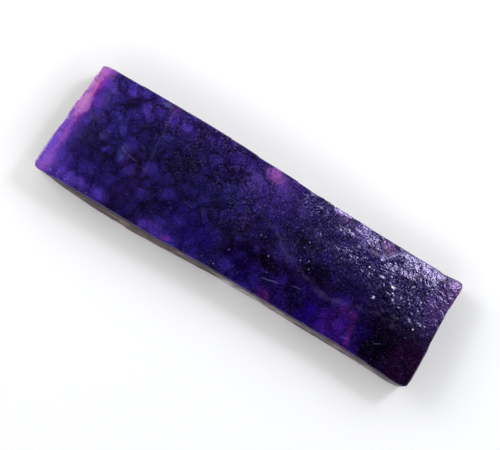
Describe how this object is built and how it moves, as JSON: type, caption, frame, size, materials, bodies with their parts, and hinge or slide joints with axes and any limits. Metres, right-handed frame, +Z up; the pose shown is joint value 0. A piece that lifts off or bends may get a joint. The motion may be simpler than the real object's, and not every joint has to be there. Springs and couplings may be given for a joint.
{
  "type": "tanzanite slab",
  "caption": "Long sawn slab of deep blue-violet gem stone, lying flat, with a half-polished, half-broken upper face and a lilac band at the left end.",
  "frame": {"origin": "middle of the bounding box, on the flat underside that the slab rests on", "axes": "+X along the slab towards the broken end, away from the lilac band; +Y across it towards the long side with the broken skin; +Z up"},
  "size_m": [0.0986, 0.0298, 0.007],
  "materials": {
    "tanzanite": "polished, rough and glassy in part"
  },
  "bodies": {
    "root": {"tanzanite_slab": "tanzanite"}
  },
  "joints": []
}
